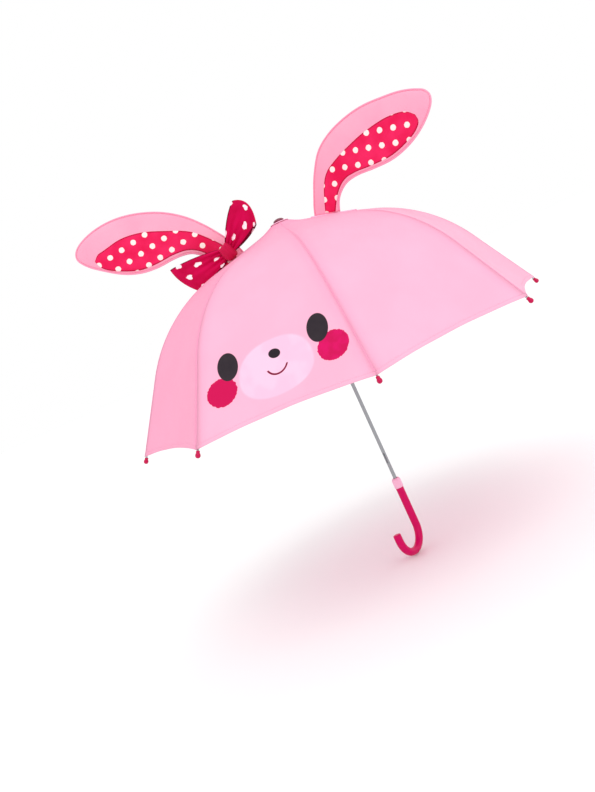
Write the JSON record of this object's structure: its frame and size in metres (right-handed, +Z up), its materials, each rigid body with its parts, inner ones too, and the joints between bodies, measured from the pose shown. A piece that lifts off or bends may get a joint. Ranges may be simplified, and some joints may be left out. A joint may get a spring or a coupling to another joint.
{
  "type": "children's umbrella",
  "caption": "Straight stick umbrella for a child: ribbed dome canopy with a plain rabbit face, wired fabric ears, a bow and a J handle.",
  "frame": {"origin": "on the shaft's line at the middle of the hand grip", "axes": "+Z up the shaft to the cap, -Y towards the face panel's side, +X to the viewer's right"},
  "size_m": [0.6876, 0.6876, 0.7295],
  "materials": {
    "shaft_steel": "polished tube",
    "rib_steel": "plated spring steel",
    "spring_steel": "bare spring steel",
    "handle_plastic": "glossy crimson",
    "collar_plastic": "pale pink",
    "cap_plastic": "dark maroon",
    "notch_plastic": "white moulding",
    "tip_plastic": "glossy crimson",
    "canopy_cloth": "woven pink with a printed rabbit face",
    "ear_cloth": "woven pink",
    "lining_cloth": "hot pink with pale dots",
    "bow_cloth": "crimson with small white hearts",
    "strap_cloth": "woven pink"
  },
  "bodies": {
    "root": {"shaft_tube": "shaft_steel", "handle": "handle_plastic", "handle_collar": "collar_plastic", "top_notch": "notch_plastic", "notch_wire": "spring_steel", "top_cap": "cap_plastic"},
    "runner": {"runner": "notch_plastic"},
    "upper_catch": {"upper_catch": "spring_steel"},
    "lower_catch": {"lower_catch": "spring_steel"},
    "rib_1": {"rib_1": "rib_steel", "rib_tip_1": "tip_plastic", "canopy_panel_1": "canopy_cloth"},
    "rib_2": {"rib_2": "rib_steel", "rib_tip_2": "tip_plastic", "canopy_panel_2": "canopy_cloth"},
    "rib_3": {"rib_3": "rib_steel", "rib_tip_3": "tip_plastic", "canopy_panel_3": "canopy_cloth"},
    "rib_4": {"rib_4": "rib_steel", "rib_tip_4": "tip_plastic", "canopy_panel_4": "canopy_cloth"},
    "rib_5": {"rib_5": "rib_steel", "rib_tip_5": "tip_plastic", "canopy_panel_5": "canopy_cloth", "closing_strap": "strap_cloth", "strap_stud": "tip_plastic", "strap_socket": "tip_plastic"},
    "rib_6": {"rib_6": "rib_steel", "rib_tip_6": "tip_plastic", "canopy_panel_6": "canopy_cloth"},
    "rib_7": {"rib_7": "rib_steel", "rib_tip_7": "tip_plastic", "canopy_panel_7": "canopy_cloth"},
    "rib_8": {"rib_8": "rib_steel", "rib_tip_8": "tip_plastic", "canopy_panel_8": "canopy_cloth"},
    "stretcher_1": {"stretcher_1": "rib_steel"},
    "stretcher_2": {"stretcher_2": "rib_steel"},
    "stretcher_3": {"stretcher_3": "rib_steel"},
    "stretcher_4": {"stretcher_4": "rib_steel"},
    "stretcher_5": {"stretcher_5": "rib_steel"},
    "stretcher_6": {"stretcher_6": "rib_steel"},
    "stretcher_7": {"stretcher_7": "rib_steel"},
    "stretcher_8": {"stretcher_8": "rib_steel"},
    "left_panel": {"left_ear_tape": "ear_cloth", "bow_knot": "bow_cloth", "bow_upper_loop": "bow_cloth", "bow_lower_loop": "bow_cloth"},
    "left_ear": {"left_ear": "ear_cloth", "left_ear_lining": "lining_cloth", "left_ear_wire": "spring_steel"},
    "right_panel": {"right_ear_tape": "ear_cloth"},
    "right_ear": {"right_ear": "ear_cloth", "right_ear_lining": "lining_cloth", "right_ear_wire": "spring_steel"}
  },
  "joints": [
    {"name": "canopy_fold", "type": "hinge", "parent": "root", "child": "rib_1", "pos_m": [-0.00306, -0.00739, 0.522], "axis": [0.9239, -0.3827, 0], "range_deg": [0, 53.3], "deforming": ["canopy_panel_1"]},
    {"name": "rib_2_fold", "type": "hinge", "parent": "root", "child": "rib_2", "pos_m": [0.00306, -0.00739, 0.522], "axis": [0.9239, 0.3827, 0], "range_deg": [0, 53.3], "deforming": ["canopy_panel_2"]},
    {"name": "rib_3_fold", "type": "hinge", "parent": "root", "child": "rib_3", "pos_m": [0.00739, -0.00306, 0.522], "axis": [0.3827, 0.9239, 0], "range_deg": [0, 53.3], "deforming": ["canopy_panel_3"]},
    {"name": "rib_4_fold", "type": "hinge", "parent": "root", "child": "rib_4", "pos_m": [0.00739, 0.00306, 0.522], "axis": [-0.3827, 0.9239, 0], "range_deg": [0, 53.3], "deforming": ["canopy_panel_4"]},
    {"name": "rib_5_fold", "type": "hinge", "parent": "root", "child": "rib_5", "pos_m": [0.00306, 0.00739, 0.522], "axis": [-0.9239, 0.3827, 0], "range_deg": [0, 53.3], "deforming": ["canopy_panel_5"]},
    {"name": "rib_6_fold", "type": "hinge", "parent": "root", "child": "rib_6", "pos_m": [-0.00306, 0.00739, 0.522], "axis": [-0.9239, -0.3827, 0], "range_deg": [0, 53.3], "deforming": ["canopy_panel_6"]},
    {"name": "rib_7_fold", "type": "hinge", "parent": "root", "child": "rib_7", "pos_m": [-0.00739, 0.00306, 0.522], "axis": [-0.3827, -0.9239, 0], "range_deg": [0, 53.3], "deforming": ["canopy_panel_7"]},
    {"name": "rib_8_fold", "type": "hinge", "parent": "root", "child": "rib_8", "pos_m": [-0.00739, -0.00306, 0.522], "axis": [0.3827, -0.9239, 0], "range_deg": [0, 53.3], "deforming": ["canopy_panel_8"]},
    {"name": "stretcher_1_swing", "type": "hinge", "parent": "rib_1", "child": "stretcher_1", "pos_m": [-0.07555, -0.18238, 0.46173], "axis": [0.9239, -0.3827, 0], "range_deg": [-106.6, 0]},
    {"name": "stretcher_2_swing", "type": "hinge", "parent": "rib_2", "child": "stretcher_2", "pos_m": [0.07555, -0.18238, 0.46173], "axis": [0.9239, 0.3827, 0], "range_deg": [-106.6, 0]},
    {"name": "stretcher_3_swing", "type": "hinge", "parent": "rib_3", "child": "stretcher_3", "pos_m": [0.18238, -0.07555, 0.46173], "axis": [0.3827, 0.9239, 0], "range_deg": [-106.6, 0]},
    {"name": "stretcher_4_swing", "type": "hinge", "parent": "rib_4", "child": "stretcher_4", "pos_m": [0.18238, 0.07555, 0.46173], "axis": [-0.3827, 0.9239, 0], "range_deg": [-106.6, 0]},
    {"name": "stretcher_5_swing", "type": "hinge", "parent": "rib_5", "child": "stretcher_5", "pos_m": [0.07555, 0.18238, 0.46173], "axis": [-0.9239, 0.3827, 0], "range_deg": [-106.6, 0]},
    {"name": "stretcher_6_swing", "type": "hinge", "parent": "rib_6", "child": "stretcher_6", "pos_m": [-0.07555, 0.18238, 0.46173], "axis": [-0.9239, -0.3827, 0], "range_deg": [-106.6, 0]},
    {"name": "stretcher_7_swing", "type": "hinge", "parent": "rib_7", "child": "stretcher_7", "pos_m": [-0.18238, 0.07555, 0.46173], "axis": [-0.3827, -0.9239, 0], "range_deg": [-106.6, 0]},
    {"name": "stretcher_8_swing", "type": "hinge", "parent": "rib_8", "child": "stretcher_8", "pos_m": [-0.18238, -0.07555, 0.46173], "axis": [0.3827, -0.9239, 0], "range_deg": [-106.6, 0]},
    {"name": "runner_slide", "type": "slide", "parent": "root", "child": "runner", "axis": [0, 0, 1], "range_m": [-0.25523, 0]},
    {"name": "upper_catch_press", "type": "slide", "parent": "root", "child": "upper_catch", "axis": [0, 1, 0], "range_m": [0, 0.0026], "stiffness_N_per_m": 400, "springref_m": -0.001},
    {"name": "lower_catch_press", "type": "slide", "parent": "root", "child": "lower_catch", "axis": [0, 1, 0], "range_m": [0, 0.0026], "stiffness_N_per_m": 400, "springref_m": -0.001},
    {"name": "left_seam_fold", "type": "hinge", "parent": "root", "child": "left_panel", "pos_m": [-0.008, 0, 0.522], "axis": [0, -1, 0], "range_deg": [0, 48]},
    {"name": "left_ear_bend", "type": "hinge", "parent": "left_panel", "child": "left_ear", "pos_m": [-0.092, 0, 0.5035], "axis": [-0.2756, 0.9613, 0], "range_deg": [0, 55], "deforming": ["left_ear", "left_ear_lining", "left_ear_wire"]},
    {"name": "right_seam_fold", "type": "hinge", "parent": "root", "child": "right_panel", "pos_m": [0.008, 0, 0.522], "axis": [0, 1, 0], "range_deg": [0, 48]},
    {"name": "right_ear_bend", "type": "hinge", "parent": "right_panel", "child": "right_ear", "pos_m": [0.092, 0, 0.5035], "axis": [-0.2756, -0.9613, 0], "range_deg": [0, 40], "deforming": ["right_ear", "right_ear_lining", "right_ear_wire"]}
  ],
  "couplings": [
    {"joint": "rib_2_fold", "follows": "canopy_fold", "ratio": 1},
    {"joint": "rib_3_fold", "follows": "canopy_fold", "ratio": 1},
    {"joint": "rib_4_fold", "follows": "canopy_fold", "ratio": 1},
    {"joint": "rib_5_fold", "follows": "canopy_fold", "ratio": 1},
    {"joint": "rib_6_fold", "follows": "canopy_fold", "ratio": 1},
    {"joint": "rib_7_fold", "follows": "canopy_fold", "ratio": 1},
    {"joint": "rib_8_fold", "follows": "canopy_fold", "ratio": 1},
    {"joint": "stretcher_1_swing", "follows": "canopy_fold", "ratio": -2},
    {"joint": "stretcher_2_swing", "follows": "canopy_fold", "ratio": -2},
    {"joint": "stretcher_3_swing", "follows": "canopy_fold", "ratio": -2},
    {"joint": "stretcher_4_swing", "follows": "canopy_fold", "ratio": -2},
    {"joint": "stretcher_5_swing", "follows": "canopy_fold", "ratio": -2},
    {"joint": "stretcher_6_swing", "follows": "canopy_fold", "ratio": -2},
    {"joint": "stretcher_7_swing", "follows": "canopy_fold", "ratio": -2},
    {"joint": "stretcher_8_swing", "follows": "canopy_fold", "ratio": -2},
    {"joint": "runner_slide", "follows": "canopy_fold", "m_per_rad": -0.27436},
    {"joint": "left_seam_fold", "follows": "canopy_fold", "ratio": 0.9},
    {"joint": "right_seam_fold", "follows": "canopy_fold", "ratio": 0.9}
  ]
}
